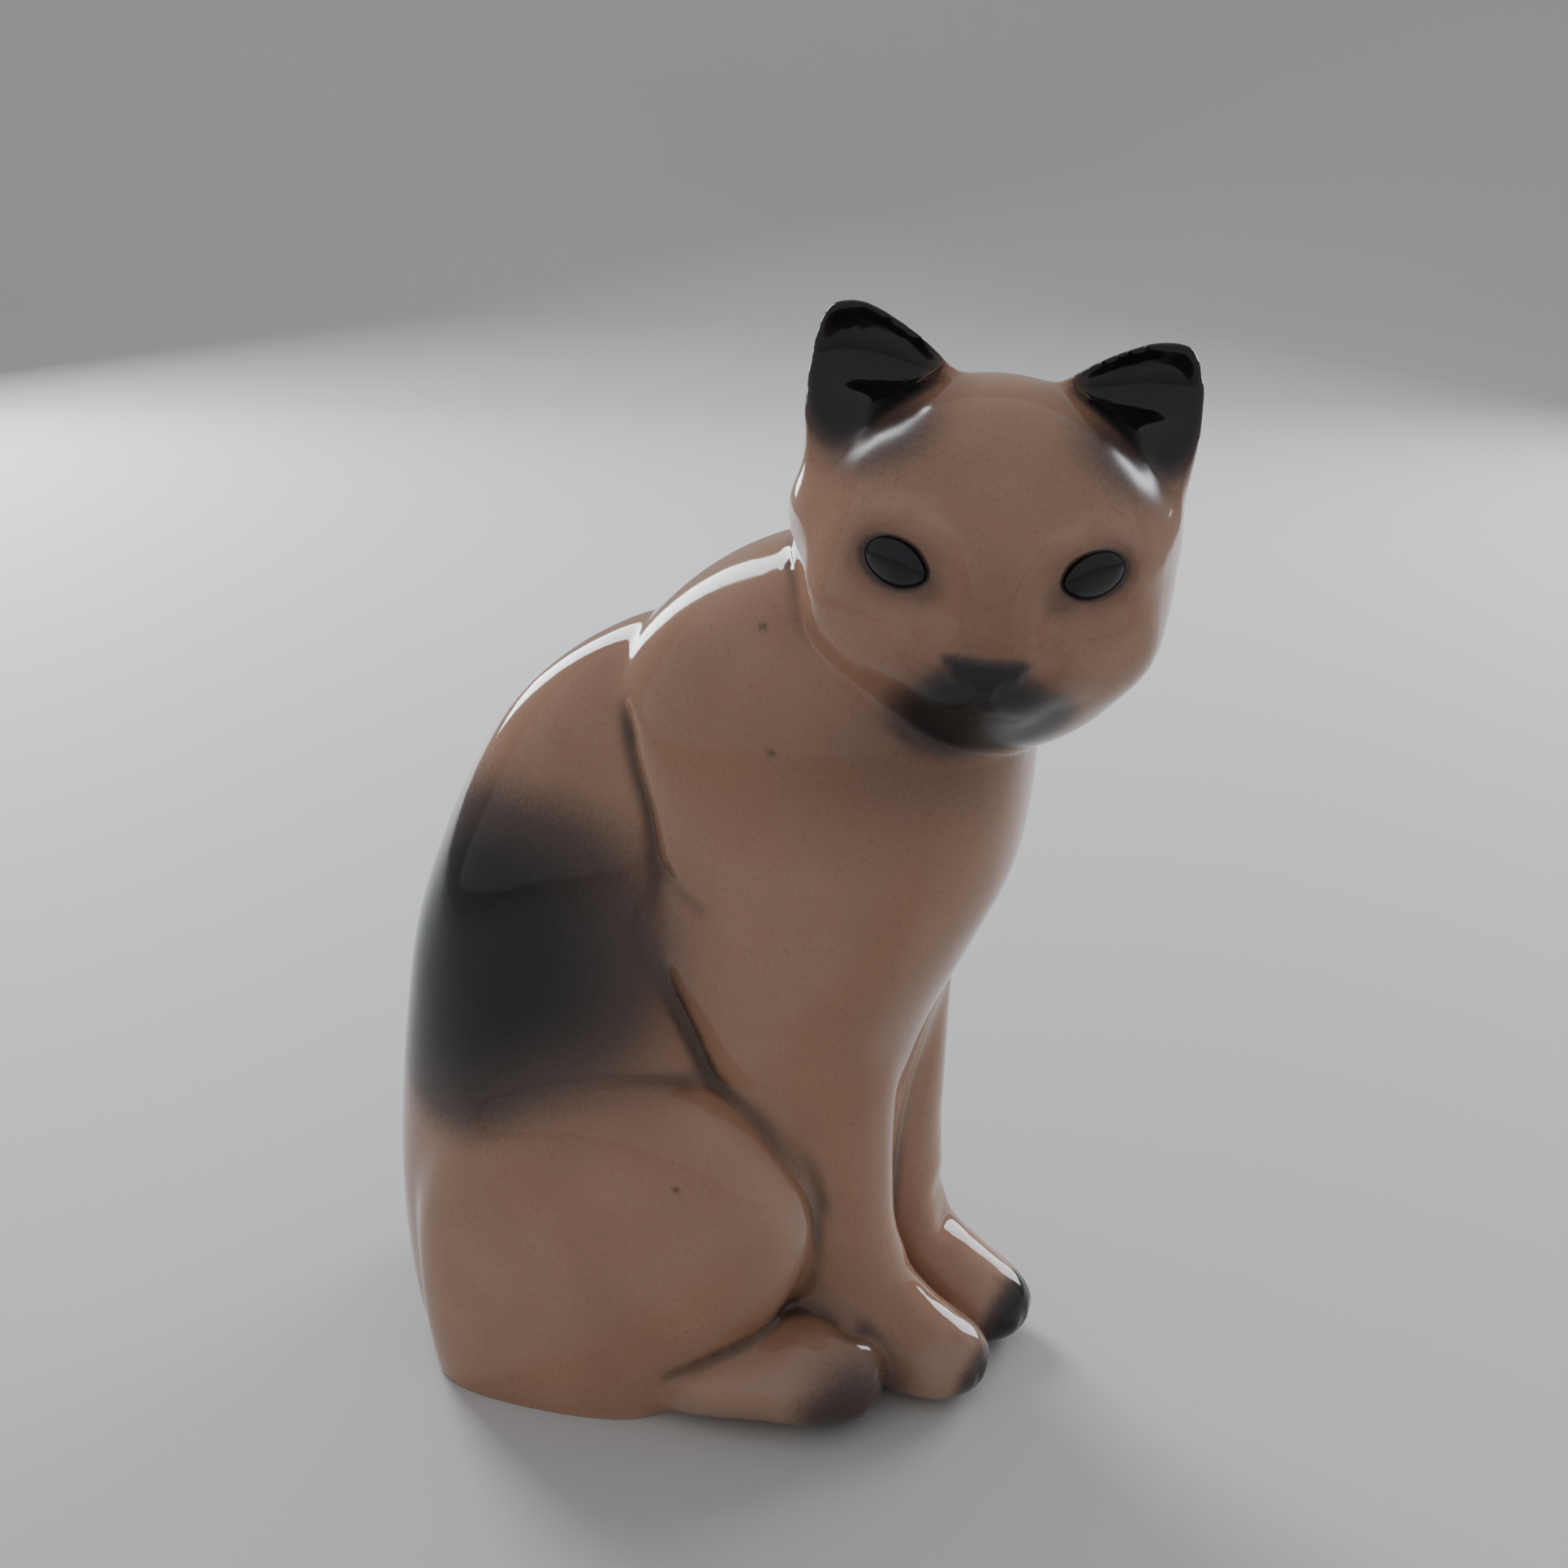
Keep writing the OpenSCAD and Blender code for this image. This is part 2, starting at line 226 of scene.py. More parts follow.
def ear_ring(side):
    """Rings for an ear, from inside the head to its tip. The left ear is a little lower."""
    def place(u, turn):
        x, y, z, half, depth, hollow, swell = along(EAR, u)
        c, s = math.cos(turn), math.sin(turn)
        rim = min(EAR_RIM, half * 0.7)
        if s > 0:
            deep = y + rim + (depth - rim) * s ** 0.8
        else:
            deep = y - rim + (hollow * max(depth + rim - EAR_WALL, 0) - swell) * abs(s) ** 0.9
        z -= max(0.0, z - EAR_FOOT) * LEFT_EAR_LOWER if side > 0 else 0
        return (HEAD @ (Vector((side * (x + half * c), deep, z)) * mm)) / mm
    return place


for side in (-1, 1):
    draw_up(ear_ring(side), 40, 56)


# ------------------------------------------------------------------ luting
# The forms are joined with slip into one skin, and the joins are rubbed down with a wet sponge,
# hardest where one form is meant to run into the next.
GRAIN = 0.82  # mm between the points of the skin

soft_clay = bpy.data.meshes.new("soft_clay")
clay.to_mesh(soft_clay)
clay.free()
figure = bpy.data.objects.new("soft_clay", soft_clay)
bpy.context.scene.collection.objects.link(figure)
figure.modifiers.new("round", "SUBSURF").levels = 1
figure.modifiers["round"].render_levels = 1
remesh = figure.modifiers.new("lute", "REMESH")
remesh.mode, remesh.voxel_size = "VOXEL", GRAIN * mm
skin = bpy.data.meshes.new_from_object(figure.evaluated_get(bpy.context.evaluated_depsgraph_get()))
bpy.data.objects.remove(figure)
figure = bpy.data.objects.new("figure", skin)
bpy.context.scene.collection.objects.link(figure)


def points_of(mesh):
    """A mesh's points, in mm."""
    co = np.empty(len(mesh.vertices) * 3, np.float32)
    mesh.vertices.foreach_get("co", co)
    return co.reshape(-1, 3).astype(float) / mm


def edges_of(mesh):
    """The pairs of points that a mesh's edges join."""
    pairs = np.empty(len(mesh.edges) * 2, np.int32)
    mesh.edges.foreach_get("vertices", pairs)
    return pairs.reshape(-1, 2)


def around(field, pairs):
    """The mean of a field over each point's neighbours."""
    n = len(field)
    count = np.bincount(pairs.ravel(), minlength=n)
    flat = field.reshape(n, -1)
    a, b = pairs.T
    total = np.stack([np.bincount(a, column[b], n) + np.bincount(b, column[a], n) for column in flat.T], 1)
    return (total / np.maximum(count, 1)[:, None]).reshape(field.shape)


def rubbed(field, pairs, share, times):
    """Evens a field out over the skin. share is how far it goes at each pass."""
    share = np.asarray(share, float).reshape((-1,) + (1,) * (field.ndim - 1))
    for _ in range(times):
        field = field + share * (around(field, pairs) - field)
    return field


def near(co, at, reach):
    """1 at the middle of a patch, easing to 0 at its reach."""
    q = (((co - np.array(at)) / np.array(reach)) ** 2).sum(1)
    return np.where(q < 1, (1 - np.minimum(q, 1)) ** 2, 0)


def in_head(co):
    """Points in the head's own frame."""
    back = np.array(HEAD.inverted())
    return co @ back[:3, :3].T + back[:3, 3] / mm


pairs = edges_of(skin)
co = points_of(skin)
co = rubbed(co, pairs, 0.5, 6)
face = in_head(co)
mirror_face = np.abs(face) * (1, 0, 0) + face * (0, 1, 1)
blend = np.zeros(len(co))
for at, reach in [((0, -20, 62), (34, 26, 34)), ((0, -28, 74), (34, 22, 26)),      # forelegs into the bust
                  ((0, 56, 12), (26, 16, 18)),                                      # tail into the rump
                  ((36, 46, 52), (22, 26, 26)), ((-36, 46, 52), (22, 26, 26)),      # back of each thigh
                  ((-20, -28, 28), (8, 12, 17)), ((20, -28, 28), (8, 12, 17)),     # behind the feet
                  ((0, -42, 76), (13, 10, 22)),                                     # between the legs
                  ((35, -13, 16), (9, 13, 8)),                                      # beside the end of the tail
                  ((0, -12, 152), (22, 18, 14))]:                                   # shoulders
    blend = np.maximum(blend, near(co, at, reach))
blend = np.maximum(blend, 1.2 * near(mirror_face, (20, 1, 14), (20, 20, 12)))       # roots of the ears
co = rubbed(co, pairs, 0.6 * np.clip(blend * 1.6, 0, 1), 70)
co = rubbed(co, pairs, 0.4, 4)
lips = near(mirror_face, (18, -4, 25), (18, 10, 6))                                 # where the ears are hollowed
co = rubbed(co, pairs, 0.6 * np.clip(lips * 1.5, 0, 1), 18)
co = rubbed(co, pairs, 0.55 * np.clip(3 * near(mirror_face, (22, 0, 34), (16, 12, 13)), 0, 1), 7)   # rims of the ears
co[:, 2] = np.maximum(co[:, 2], 0)
skin.vertices.foreach_set("co", (co * mm).astype(np.float32).ravel())
skin.update()


# ------------------------------------------------------------------ creases of the body
# Lines drawn into the soft clay with a wooden tool: the crease between the shoulder and the rump
# on each flank, the edges of the thigh, the knee and the hind foot, the fold of the elbow, and the
# toes. The ankles are pressed in above the paws.
FLANK_CREASE = [(-18, 8.6, 136), (-23.5, 5.8, 127.5), (-26.8, 1.6, 117), (-27.6, 0.8, 105), (-28.2, 2.4, 96.5),
                (-26.8, -1.6, 84.6), (-24.4, -8.6, 69)]
KNEE_CREASE = [(-28, 1.5, 92), (-26.8, -1.6, 84.6), (-24.6, -9, 68), (-25.7, -20.6, 55.8), (-23.5, -27, 41.5),
               (-20.5, -26, 30), (-20, -22, 22)]
THIGH_CREASE = [(-33.5, 36, 61), (-33.2, 24, 66.3), (-32, 11.3, 69.4), (-28.8, -0.2, 68.6), (-26.5, -7, 67)]
FOOT_CREASE = [(-35, 0, 10), (-34.5, -9, 14), (-31, -16, 18.6), (-24, -21, 21), (-22.5, -28, 21),
               (-24, -34.5, 19), (-20, -37, 17.5)]
ELBOW_FOLD = [(-27, 0, 109.5), (-28.4, -5, 105), (-29.5, -10, 101.5)]
PAW_TIP, PAW_X, TOE_GAP = -58, 10.2, 3.5
HIND_TIP, HIND_X, HIND_TOE_GAP = -40.6, 23.2, 4.4

# The face and the ears need a finer skin than the rest.
fine = bmesh.new()
fine.from_mesh(skin)
for v, place in zip(fine.verts, co):
    v.co = place * mm
bmesh.ops.remove_doubles(fine, verts=fine.verts, dist=0.05 * mm)
fine.verts.index_update()
co = np.array([v.co for v in fine.verts]) / mm
face = in_head(co)
out = np.linalg.norm(face, axis=1)
on_front = (face[:, 1] < -5) & (np.abs(face[:, 0]) < 28) & (face[:, 2] > -31) & (face[:, 2] < 21) & (out < 38)
on_ears = (face[:, 2] > 20) & (np.abs(face[:, 0]) > 9) & (out > 30.5)
wanted = on_front | on_ears
halved = [e for e in fine.edges if wanted[e.verts[0].index] and wanted[e.verts[1].index]]
bmesh.ops.subdivide_edges(fine, edges=halved, cuts=1, use_grid_fill=True)
bmesh.ops.delete(fine, geom=[v for v in fine.verts if not v.link_faces], context="VERTS")
fine.to_mesh(skin)
fine.free()
pairs = edges_of(skin)
co = points_of(skin)
face = in_head(co)
out = np.linalg.norm(face, axis=1)
soften = ((face[:, 1] < -4) & (out < 38)) | ((face[:, 2] > 19) & (out > 30))
co = rubbed(co, pairs, 0.5 * soften, 8)


def outward(points):
    """The skin's normals when its points are where they are given."""
    skin.vertices.foreach_set("co", (points * mm).astype(np.float32).ravel())
    skin.update()
    n = np.empty(len(skin.vertices) * 3, np.float32)
    skin.vertices.foreach_get("normal", n)
    return n.reshape(-1, 3).astype(float)


def off_the_way(points, way):
    """How far points lie from a line drawn through way, in mm, and how deep the tool is pressed there."""
    stops = np.array([along(way, u) for u in np.linspace(0, 1, 8 * len(way))])
    best, press = np.full(len(points), 99.0), np.zeros(len(points))
    close = np.where(((points > stops.min(0) - 8) & (points < stops.max(0) + 8)).all(1))[0]
    for k, (a, b) in enumerate(zip(stops, stops[1:])):
        d = points[close] - a
        t = np.clip(d @ (b - a) / max((b - a) @ (b - a), 1e-9), 0, 1)
        far = np.linalg.norm(d - t[:, None] * (b - a), axis=1)
        nearer = far < best[close]
        best[close[nearer]] = far[nearer]
        u = (k + t[nearer]) / (len(stops) - 1)
        press[close[nearer]] = np.clip(8 * u, 0, 1) * np.clip(8 * (1 - u), 0, 1)
    return best, press


def scored(points, way, width, depth, caught=None):
    """Presses a groove along a way, or raises a ridge where depth is below 0. caught notes the groove."""
    far, press = off_the_way(points, way)
    line = np.exp(-(far / width) ** 2) * press
    if caught is not None:
        caught[:] = np.maximum(caught, line * min(depth, 1))
    return points - outward(points) * (line * depth)[:, None]


caught = np.zeros(len(co))      # where glaze will gather in the drawn lines
for side in (-1, 1):
    flip = np.array((-side, 1, 1))
    co = scored(co, FLANK_CREASE * flip, 3.6, 0.7)
    co = scored(co, FLANK_CREASE * flip, 1.2, 0.9, caught)
    co = scored(co, KNEE_CREASE * flip, 1.3, 0.6, caught)
    co = scored(co, THIGH_CREASE * flip, 1.8, 0.35, caught)
    co = scored(co, FOOT_CREASE * flip, 1.4, 0.5, caught)
    co = scored(co, ELBOW_FOLD * flip, 1.3, 0.45, caught)
    forward = LEFT_PAW_FORWARD if side > 0 else 0
    if side > 0:      # the left ankle is pressed in higher up as well
        co = pressed(co, (10.5, -43 - forward, 29.5), (11, 8, 9), (0, 2.4, 0))
    co = pressed(co, (side * 10.5, -43 - forward, 23), (11, 8, 7), (0, 2.4 if side > 0 else 1.0, 0))
    for toe in (-1, 0, 1):
        x = side * (PAW_X + toe * TOE_GAP)
        y = PAW_TIP - forward + 0.8 * toe * toe
        co = scored(co, [(x, y + 0.6, 1.5), (x, y, 6.5), (x, y + 2.4, 11.5), (x, y + 7, 15.5)], 0.75, 0.75, caught)
        x = side * (HIND_X + toe * HIND_TOE_GAP)
        y = HIND_TIP + 0.9 * toe * toe
        co = scored(co, [(x, y + 0.8, 1.5), (x, y, 7.5), (x, y + 2.6, 13.5), (x, y + 8, 18.5)], 0.85, 0.7, caught)


# ------------------------------------------------------------------ face
# Sockets, lids, nose, muzzle and mouth, modelled into the ball of the head in its own frame.
# The eyes are separate domes of enamel that sit in beds pressed between the lids.
EYE_AT, EYE_LEAN, EYE_TURN = Vector((15.9, -24.6, 4.3)), 11, 32
EYE_HALF = (5.6, 1.5, 3.7)
EYE_RISE = {-1: 0.5, 1: 1.6}      # the left eye sits a little higher
FACE_PRESSES = [  # centre, reach and move; each is made on both sides of the face
    ((13, -27, 12), (11, 11, 5), (0, -1.3, 0.4)),      # brow
    ((9.5, -29, 0), (4.5, 8, 8), (0, 1.1, 0)),         # hollow beside the bridge
    ((9.5, -30, -8), (5, 9, 5), (0, 0.9, 0)),          # hollow above the muzzle
    ((7.5, -31, -16.5), (7.5, 10, 6), (0, -1.1, 0)),   # whisker pad
    ((14, -27, -12.5), (7, 10, 5), (0, -0.8, 0)),      # edge of the muzzle
    ((17, -25, -4), (8, 10, 6), (0, -0.8, 0)),         # cheekbone
    ((3.2, -33, -9.4), (3.6, 6, 2.6), (0, -0.9, 0)),   # nose pad
    ((1.2, -33, -11.4), (2.2, 6, 2.2), (0, -0.5, 0))]
NOSTRIL = [(2.2, -35.5, -11.6), (4.2, -34.6, -10.2), (5.8, -33.2, -8.6)]
NOSE_EDGE = [(0, -36, -7.4), (3, -35, -7.2), (6.4, -33, -7.2)]
SOCKET_RIM = [(14, -27, 13), (8, -30, 12), (4.4, -32, 7.1), (3.6, -33, 1.5), (6.2, -32, -4.6), (12, -29, -8.4)]
LIP = [(0, -34, -13), (0.3, -33.5, -16), (2, -32.5, -18.5), (5, -31, -20.2), (8, -29, -20.6)]

face = in_head(co)
for at, reach, move in FACE_PRESSES:
    for side in (-1, 1):
        face = pressed(face, (side * at[0], at[1], at[2]), reach, move)
face = pressed(face, (0, -33, -1), (3.8, 8, 9), (0, -0.9, 0))     # bridge of the nose
face = pressed(face, (0, -27, -26), (7, 9, 5), (0, -0.9, 0))      # chin


def eye_frame(side):
    """The place and lean of one eye, in the head's own frame."""
    at = Vector((side * EYE_AT.x, EYE_AT.y, EYE_AT.z + EYE_RISE[side]))
    return (Matrix.Translation(at) @ Matrix.Rotation(math.radians(side * EYE_TURN), 4, "Z")
            @ Matrix.Rotation(math.radians(side * -EYE_LEAN), 4, "Y"))


def round_the_eye(points):
    """1 on the outline of an eye, less inside it and more outside."""
    best = np.full(len(points), 9.0)
    for side in (-1, 1):
        back = np.array(eye_frame(side).inverted())
        q = points @ back[:3, :3].T + back[:3, 3]
        ring = np.sqrt((q[:, 0] / EYE_HALF[0]) ** 2 + (q[:, 2] / EYE_HALF[2]) ** 2)
        best = np.where(np.abs(q[:, 1]) < 7, np.minimum(best, ring), best)
    return best


ring = round_the_eye(face)
straight_out = face / np.maximum(np.linalg.norm(face, axis=1), 1)[:, None]
lids = 0.22 * np.exp(-((ring - 1.3) / 0.25) ** 2)      # mm
bed = 0.5 * np.clip((1.15 - ring) / 0.3, 0, 1)
face = face + straight_out * (lids - bed)[:, None]
co = face @ np.array(HEAD)[:3, :3].T + np.array(HEAD)[:3, 3] / mm
sunk = {}
for side in (-1, 1):      # how far back the rim of each eye is
    rim = face[(np.abs(ring - 1.0) < 0.08) & (side * face[:, 0] > 0)]
    back = np.array(eye_frame(side).inverted())
    sunk[side] = float(np.median(rim @ back[:3, :3].T[:, 1] + back[1, 3]))


def on_head(way, side=1):
    """A way on one side of the face, taken from the head's own frame."""
    return [tuple((HEAD @ (Vector((side * x, y, z)) * mm)) / mm) for x, y, z in way]


def settled(way, points):
    """Moves each stop of a way on to the nearest point of the skin."""
    return [tuple(points[((points - np.array(p)) ** 2).sum(1).argmin()]) for p in way]


for side in (-1, 1):
    co = scored(co, settled(on_head(SOCKET_RIM, side), co), 1.7, -0.6)
    co = scored(co, settled(on_head(NOSTRIL, side), co), 1.1, 0.35)
    co = scored(co, settled(on_head(NOSE_EDGE, side), co), 0.6, 0.25, caught)
    co = scored(co, settled(on_head(LIP, side), co), 1.1, 0.15)
co = rubbed(co, pairs, 0.3 + 0.3 * (near(in_head(co), (0, -34, -14), (6, 9, 5)) > 0.05), 6)
co[:, 2] = np.maximum(co[:, 2], 0)


# ------------------------------------------------------------------ stains and painted shade
# Dark and rusty stains are sprayed on before the clear glaze, which pools dark in the creases and
# runs thin on the edges. The broad hollows and the throat under the chin are also darkened with
# painted shade. How much of each lies on the skin is kept in its attributes.
def sprayed(points, at, reach, soft=0.5):
    """A patch of spray: 1 in its middle, fading out about its reach."""
    q = np.sqrt((((points - np.array(at)) / np.array(reach)) ** 2).sum(1))
    t = np.clip((1 + soft - q) / (2 * soft), 0, 1)
    return t * t * (3 - 2 * t)


def over(*coats):
    """Coats of spray, one over another."""
    bare = 1
    for coat in coats:
        bare = bare * (1 - np.clip(coat, 0, 1))
    return 1 - bare


def ramp(value, start, end):
    """Eases from 0 at start to 1 at end."""
    t = np.clip((value - start) / (end - start), 0, 1)
    return t * t * (3 - 2 * t)


PINHOLES = [(-23.2, -18.1, 151.7), (-29.9, -21.4, 132.4), (-36.8, -5.8, 51.8), (30.5, 6, 98),
            (35.5, 30, 44), (12, 53, 88), (20, -30, 118)]
PINHOLE_R = 0.62
normals = outward(co)
face = in_head(co)
turned = normals @ np.array(HEAD)[:3, :3]
both = np.abs(co) * (-1, 0, 0) + co * (0, 1, 1)
both_face = np.abs(face) * (1, 0, 0) + face * (0, 1, 1)
ring = round_the_eye(face)
is_face = (face[:, 1] < -8) & (np.linalg.norm(face, axis=1) < 39)
half_nose = 1.0 + 5.9 * np.clip((face[:, 2] + 13.8) / 6.0, 0, 1)      # wider towards its top, in mm
nose = ramp(half_nose - both_face[:, 0], -1.6, 1.8) * is_face
nose = nose * ramp(face[:, 2], -14.8, -13.2) * ramp(-face[:, 2], 6.0, 9.0)
below = sprayed(face, (1.3, -29, -19.8), (15.5, 21, 8.8), 0.35) * is_face
spray = over(
    0.98 * sprayed(both, (-34, 42, 91), (30, 31, 28), 0.55),                                  # flank
    0.4 * sprayed(both, (-34, 44, 66), (22, 20, 12), 0.6),
    0.5 * sprayed(both, (-29, 14, 92), (14, 16, 24), 0.55),
    0.98 * sprayed(both_face, (21.5, 0, 33), (10.5, 9, 10), 0.25) * ramp(-turned[:, 1], -0.55, 0.0),   # ears
    0.85 * sprayed(both_face, (25, 1, 40), (6, 9, 5), 0.45),
    0.92 * sprayed(both_face, (25, -1, 27), (7.5, 8, 9.5), 0.3) * ramp(-turned[:, 1], -0.4, 0.1),
    0.42 * sprayed(both_face, (20, -9, 22), (12, 10, 6), 0.6) * ramp(-turned[:, 1], -0.3, 0.2),
    0.16 * sprayed(both_face, (18, -14, 19), (14, 12, 8), 0.6) * ramp(-turned[:, 1], -0.3, 0.2),
    0.98 * below, 0.9 * nose,                                                                 # muzzle
    0.9 * sprayed(face, (0, -30, -13), (7.5, 12, 5.5), 0.5) * is_face,
    0.6 * np.exp(-(np.maximum(ring - 1.0, 0) / 0.15) ** 2) * is_face,                         # lids
    0.25 * sprayed(both_face, (10.4, -28, 2), (3, 8, 3), 0.7) * is_face,
    # Under the chin: a little grey spray, with painted shade under the head.
    0.18 * sprayed(co, (-21, -43, 131), (22, 18, 10), 0.7),                                   # throat
    0.8 * sprayed(co, (-12, -59, 4), (9, 7, 8), 0.5), 0.98 * sprayed(co, (8, -63, 5), (12, 9.5, 10), 0.4),   # toes
    0.6 * sprayed(both, (-29, -36, 6), (13, 10, 11), 0.6),
    0.9 * sprayed(co, (38, -18, 7), (14, 30, 14), 0.5))                                       # tail
rust = over(
    0.9 * sprayed(both, (-30, 12, 88), (15, 19, 27), 0.6),                                    # before the flank
    0.85 * sprayed(face, (0, -30, -16), (18, 16, 10), 0.5) * is_face,                         # muzzle
    0.9 * np.exp(-(np.maximum(ring - 1.05, 0) / 0.5) ** 2) * is_face,                         # lids
    0.3 * np.exp(-(np.maximum(ring - 1.1, 0) / 0.9) ** 2) * is_face,
    0.45 * sprayed(face, (0, -33, -1), (5, 9, 10), 0.6) * is_face,                            # bridge of the nose
    0.6 * sprayed(both_face, (21, -6, 24), (14, 12, 13), 0.5),                                # roots of the ears
    # Brown under the chin: partly rust stain, partly painted shade under the head.
    0.5 * sprayed(co, (-24, -43, 131), (26, 20, 14), 0.7),                                    # throat
    0.4 * sprayed(both, (-24, -34, 16), (18, 18, 14), 0.6),                                   # hind feet
    0.45 * sprayed(co, (-10, -58, 8), (14, 10, 12), 0.6))                                     # right paw

# hollow finds the fine creases, where the glaze pools dark; wide finds the broad hollows, which are darkened as
# painted shade, and the broad swells, where the glaze runs thin.
hollow = rubbed(((rubbed(co, pairs, 0.6, 14) - co) * normals).sum(1), pairs, 0.6, 4)      # mm
wide = rubbed(((rubbed(co, pairs, 0.6, 90) - co) * normals).sum(1), pairs, 0.6, 6)
specks = np.max([np.exp(-(np.linalg.norm(co - p, axis=1) / PINHOLE_R) ** 2) for p in np.array(PINHOLES, float)], 0)
# Glaze pooled in the creases and pinholes, plus painted shade darkening the broad hollows, such as the valley above
# each hind foot.
pool = over(0.75 * ramp(hollow, 0.05, 0.32), 0.55 * ramp(wide, 0.2, 1.4), 0.85 * rubbed(caught, pairs, 0.5, 3), specks)
thin = ramp(-wide, 0.15, 1.1) * ramp(-hollow, 0.0, 0.12)
bare = ramp(-normals[:, 2], 0.75, 0.95) * ramp(-co[:, 2], -0.9, -0.3)
for name, value in (("spray", spray), ("rust", rust), ("pool", pool), ("thin", thin), ("bare", bare)):
    skin.attributes.new(name, "FLOAT", "POINT").data.foreach_set("value", np.clip(value, 0, 1).astype(np.float32))
kept_normals = skin.attributes.new("smooth_normal", "FLOAT_VECTOR", "POINT")
kept_normals.data.foreach_set("vector", normals.astype(np.float32).ravel())


# ------------------------------------------------------------------ glaze
# Tan slip with a fine brown mottle under a clear gloss glaze, and the stains between them. The
# glaze ripples a little, and it is wiped off the underside, which shows the bare biscuit.
def node(tree, kind, at, **settings):
    """A shader node, set out at a place on its sheet."""
    made = tree.nodes.new(kind)
    made.location = at
    for key, value in settings.items():
        setattr(made, key, value)
    return made


def glaze_group():
    """The slip, stains and clear glaze as one node group, which every member shares."""
    tree = bpy.data.node_groups.new("stained_glaze", "ShaderNodeTree")
    for name in ("Spray", "Rust", "Pool", "Thin", "Bare", "Matt"):
        tree.interface.new_socket(name, in_out="INPUT", socket_type="NodeSocketFloat")
    for name, kind in (("Color", "NodeSocketColor"), ("Roughness", "NodeSocketFloat"), ("Height", "NodeSocketFloat")):
        tree.interface.new_socket(name, in_out="OUTPUT", socket_type=kind)
    put = tree.links.new
    given = node(tree, "NodeGroupInput", (-1500, 0))
    out = node(tree, "NodeGroupOutput", (1300, 0))
    place = node(tree, "ShaderNodeTexCoord", (-1500, 400))

    def noise(scale, detail, at, rough=0.5):
        made = node(tree, "ShaderNodeTexNoise", at)
        made.inputs["Scale"].default_value, made.inputs["Detail"].default_value = scale, detail
        made.inputs["Roughness"].default_value = rough
        put(place.outputs["Object"], made.inputs["Vector"])
        return made.outputs["Fac"]

    def sum_of(operation, a, b, at, c=None, clamp=False):
        made = node(tree, "ShaderNodeMath", at, operation=operation, use_clamp=clamp)
        for socket, value in zip(made.inputs, (a, b, c)):
            if value is None:
                continue
            if isinstance(value, (int, float)):
                socket.default_value = value
            else:
                put(value, socket)
        return made.outputs[0]

    def spread(value, low, high, to_low, to_high, at):
        made = node(tree, "ShaderNodeMapRange", at, interpolation_type="SMOOTHSTEP")
        for socket, amount in zip(("From Min", "From Max", "To Min", "To Max"), (low, high, to_low, to_high)):
            made.inputs[socket].default_value = amount
        put(value, made.inputs["Value"])
        return made.outputs["Result"]

    def mixed(share, a, b, at):
        made = node(tree, "ShaderNodeMix", at, data_type="RGBA")
        for socket, value in ((made.inputs["Factor"], share), (made.inputs[6], a), (made.inputs[7], b)):
            if isinstance(value, tuple):
                socket.default_value = value
            else:
                put(value, socket)
        return made.outputs[2]

    cloud = noise(38, 3, (-1200, 500))
    fleck = noise(1300, 4, (-1200, 250), 0.65)
    wave = noise(95, 2, (-1200, -500))
    # Tan slip, cloudy and finely flecked.
    deep_tan, light_tan = (0.37, 0.198, 0.122, 1), (0.43, 0.238, 0.150, 1)
    tan = mixed(spread(cloud, 0.3, 0.7, 0, 1, (-900, 600)), deep_tan, light_tan, (-600, 600))
    tan = mixed(spread(fleck, 0.50, 0.78, 0, 0.42, (-900, 400)), tan, (0.20, 0.10, 0.062, 1), (-350, 500))
    tan = mixed(sum_of("MULTIPLY", given.outputs["Thin"], 0.35, (-600, 300)), tan, (0.62, 0.44, 0.34, 1), (-150, 450))
    rusty = sum_of("MULTIPLY", given.outputs["Rust"], spread(cloud, 0.25, 0.75, 0.6, 0.8, (-900, 150)), (-600, 150))
    base = mixed(rusty, tan, (0.155, 0.070, 0.048, 1), (50, 400))
    # Dark brown where the glaze pools in the creases and pinholes, and painted shade in the broad hollows.
    pooled_and_shaded = sum_of("MULTIPLY", given.outputs["Pool"], spread(cloud, 0.2, 0.7, 0.8, 0.95, (-100, -400)), (150, -350))
    base = mixed(pooled_and_shaded, base, (0.036, 0.017, 0.011, 1), (150, 500))
    # The dark stain is grainy where it fades out.
    clear = sum_of("SUBTRACT", 1, given.outputs["Spray"], (-900, -120))
    edge = sum_of("MULTIPLY", given.outputs["Spray"], clear, (-700, -120))
    grain = sum_of("MULTIPLY", sum_of("SUBTRACT", fleck, 0.5, (-900, -250)), edge, (-500, -200))
    dark = sum_of("MULTIPLY_ADD", grain, 1.1, (-300, -150), c=given.outputs["Spray"], clamp=True)
    base = mixed(spread(dark, 0.0, 0.55, 0, 1, (-100, -50)), base, (0.105, 0.062, 0.047, 1), (250, 300))
    base = mixed(spread(dark, 0.35, 1.0, 0, 1, (-100, -250)), base, (0.008, 0.008, 0.009, 1), (450, 250))
    put(mixed(given.outputs["Bare"], base, (0.60, 0.50, 0.40, 1), (850, 150)), out.inputs["Color"])
    gloss = spread(cloud, 0.3, 0.7, 0.055, 0.10, (650, -100))
    gloss = sum_of("MULTIPLY_ADD", given.outputs["Spray"], given.outputs["Matt"], (800, -200), c=gloss)
    put(sum_of("MULTIPLY_ADD", given.outputs["Bare"], 0.75, (950, -100), c=gloss), out.inputs["Roughness"])
    relief = sum_of("MULTIPLY_ADD", fleck, 0.02, (650, -400), c=wave)
    biscuit = sum_of("MULTIPLY", given.outputs["Bare"], fleck, (650, -600))
    put(sum_of("MULTIPLY_ADD", biscuit, 0.5, (950, -400), c=relief), out.inputs["Height"])
    return tree


stained_glaze = glaze_group()


